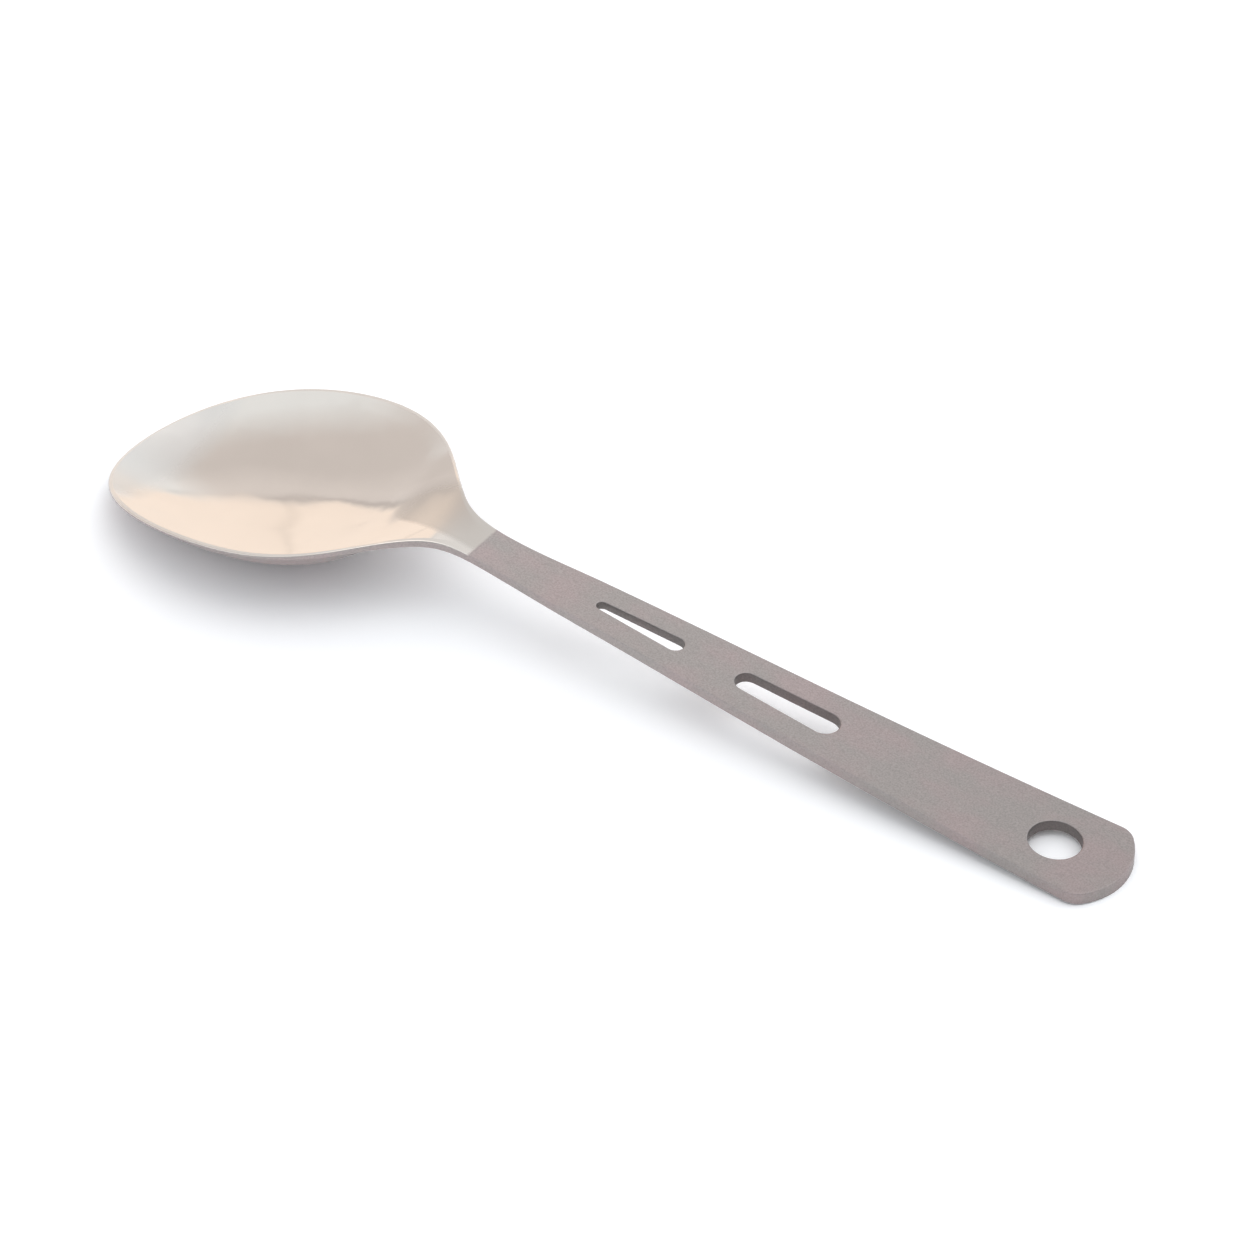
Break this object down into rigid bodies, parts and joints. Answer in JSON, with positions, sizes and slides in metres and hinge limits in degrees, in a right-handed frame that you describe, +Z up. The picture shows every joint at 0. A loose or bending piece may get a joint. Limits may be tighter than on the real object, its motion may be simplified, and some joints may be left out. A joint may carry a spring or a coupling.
{
  "type": "spoon",
  "caption": "Table spoon with a deep oval bowl, a narrow neck and a flat handle that widens to a rounded end, with tapered slots and a round hanging hole.",
  "frame": {"origin": "on the table the spoon rests on, under the middle of its length", "axes": "+X from the tip of the bowl to the end of the handle, +Y across the spoon, +Z up out of the open bowl"},
  "size_m": [0.165, 0.0422, 0.0132],
  "materials": {
    "titanium": "bead-blasted grey handle, satin polished bowl"
  },
  "bodies": {
    "root": {"spoon": "titanium"}
  },
  "joints": []
}
